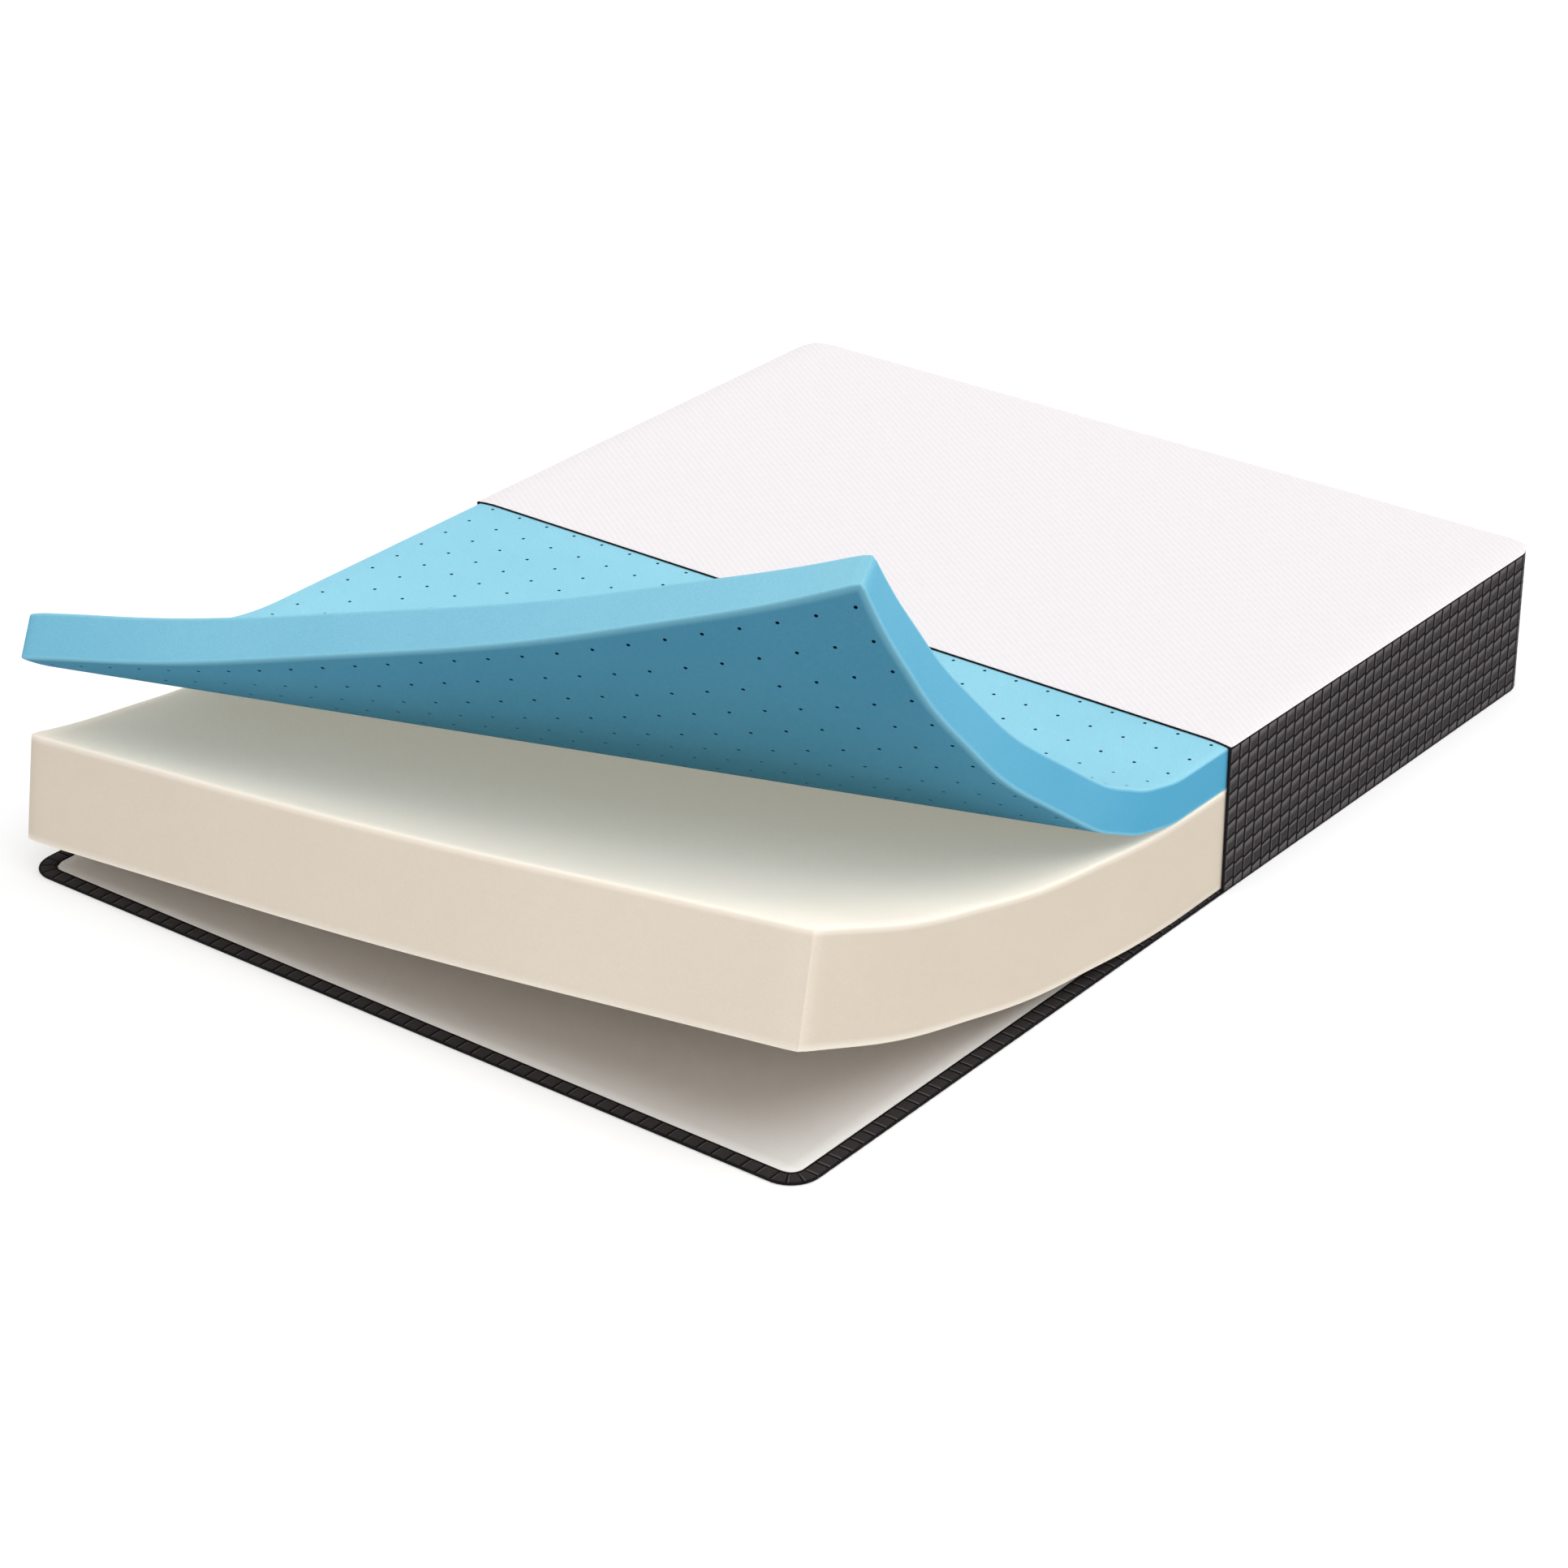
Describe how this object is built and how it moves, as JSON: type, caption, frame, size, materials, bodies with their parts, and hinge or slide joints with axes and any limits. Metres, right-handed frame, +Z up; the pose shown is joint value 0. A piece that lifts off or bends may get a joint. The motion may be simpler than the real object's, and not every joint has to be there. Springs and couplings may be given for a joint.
{
  "type": "memory foam mattress",
  "caption": "Two-layer foam mattress with its cover cut back at the foot and both foam sheets lifted, in a tiled border with a knitted top and a zipper.",
  "frame": {"origin": "centre of the underside, on the floor", "axes": "+Z up, -Y towards the uncovered foot end, +Y towards the head end, X across the width"},
  "size_m": [1.5385, 2.0452, 0.8176],
  "materials": {
    "border_fabric": "charcoal knit with raised square tiles",
    "piping": "black woven binding",
    "knit_fabric": "off-white knit with fine diagonal ribs",
    "bottom_fabric": "light grey non-slip backing",
    "sock_fabric": "thin knitted sock",
    "gel_foam": "perforated light blue gel foam",
    "base_foam": "cream open-cell foam",
    "zipper_fabric": "black woven zipper tape",
    "zipper_nylon": "black nylon coil",
    "zipper_metal": "dull gunmetal",
    "label_fabric": "blank satin label"
  },
  "bodies": {
    "root": {"bottom_panel": "bottom_fabric", "bottom_rim": "border_fabric", "bottom_piping": "piping", "rim_inner_binding": "piping", "side_border": "border_fabric", "top_piping": "piping", "top_panel": "knit_fabric", "border_edge_binding_right": "piping", "border_edge_binding_left": "piping", "panel_edge_binding": "piping", "inner_sock": "sock_fabric", "base_layer": "base_foam", "gel_layer": "gel_foam", "zipper_tape_upper": "zipper_fabric", "zipper_tape_lower": "zipper_fabric", "zipper_coil_upper": "zipper_nylon", "zipper_coil_lower": "zipper_nylon", "zipper_end_stops": "zipper_metal", "care_label": "label_fabric"},
    "base_panel_1": {"base_flap_1": "base_foam"},
    "base_panel_2": {"base_flap_2": "base_foam"},
    "base_panel_3": {"base_flap_3": "base_foam"},
    "gel_panel_1": {"gel_flap_1": "gel_foam"},
    "gel_panel_2": {"gel_flap_2": "gel_foam"},
    "gel_panel_3": {"gel_flap_3": "gel_foam"},
    "gel_panel_4": {"gel_flap_4": "gel_foam"},
    "gel_panel_5": {"gel_flap_5": "gel_foam"},
    "gel_panel_6": {"gel_flap_6": "gel_foam"},
    "zip_slider": {"zipper_slider": "zipper_metal"},
    "zip_pull": {"zipper_pull": "zipper_metal"}
  },
  "joints": [
    {"name": "base_lift", "type": "hinge", "parent": "root", "child": "base_panel_1", "pos_m": [0, -0.39, 0.0925], "axis": [-0.9441, -0.3296, 0], "range_deg": [-7.5, 3]},
    {"name": "base_bend_2", "type": "hinge", "parent": "base_panel_1", "child": "base_panel_2", "pos_m": [-0.0008, -0.6897, 0.12972], "axis": [-0.9494, -0.3141, -0.0021], "range_deg": [-7.5, 3]},
    {"name": "base_bend_3", "type": "hinge", "parent": "base_panel_2", "child": "base_panel_3", "pos_m": [0.35538, -0.86827, 0.20572], "axis": [-0.9541, -0.2994, -0.0063], "range_deg": [-7.5, 3]},
    {"name": "gel_lift", "type": "hinge", "parent": "root", "child": "gel_panel_1", "pos_m": [0, -0.291, 0.2175], "axis": [-0.9631, -0.2692, 0], "range_deg": [-13.12, 5.25]},
    {"name": "gel_bend_2", "type": "hinge", "parent": "gel_panel_1", "child": "gel_panel_2", "pos_m": [-0.00111, -0.45103, 0.25337], "axis": [-0.9364, -0.3503, 0.0199], "range_deg": [-13.12, 5.25]},
    {"name": "gel_bend_3", "type": "hinge", "parent": "gel_panel_2", "child": "gel_panel_3", "pos_m": [-0.00586, -0.60386, 0.32416], "axis": [-0.9142, -0.4025, 0.0478], "range_deg": [-13.12, 5.25]},
    {"name": "gel_curl", "type": "hinge", "parent": "gel_panel_3", "child": "gel_panel_4", "pos_m": [0.14597, -0.71496, 0.45271], "axis": [-0.9327, -0.3605, 0.0103], "range_deg": [-13.25, 8]},
    {"name": "gel_curl_5", "type": "hinge", "parent": "gel_panel_4", "child": "gel_panel_5", "pos_m": [0.43162, -0.74286, 0.61848], "axis": [-0.9237, -0.381, 0.0394], "range_deg": [-13.25, 8]},
    {"name": "gel_curl_6", "type": "hinge", "parent": "gel_panel_5", "child": "gel_panel_6", "pos_m": [0.61486, -0.73779, 0.75662], "axis": [-0.8965, -0.4198, 0.1417], "range_deg": [-13.25, 8]},
    {"name": "zip_slide", "type": "slide", "parent": "root", "child": "zip_slider", "axis": [1, 0, 0], "range_m": [-0.0145, 1.1475]},
    {"name": "zip_pull_swing", "type": "hinge", "parent": "zip_slider", "child": "zip_pull", "pos_m": [-0.5665, 1.017, 0.046], "axis": [0, 0, 1], "range_deg": [0, 175]}
  ],
  "couplings": [
    {"joint": "base_bend_2", "follows": "base_lift", "ratio": 1},
    {"joint": "base_bend_3", "follows": "base_lift", "ratio": 1},
    {"joint": "gel_lift", "follows": "base_lift", "ratio": 1.75},
    {"joint": "gel_bend_2", "follows": "base_lift", "ratio": 1.75},
    {"joint": "gel_bend_3", "follows": "base_lift", "ratio": 1.75},
    {"joint": "gel_curl_5", "follows": "gel_curl", "ratio": 1},
    {"joint": "gel_curl_6", "follows": "gel_curl", "ratio": 1}
  ]
}
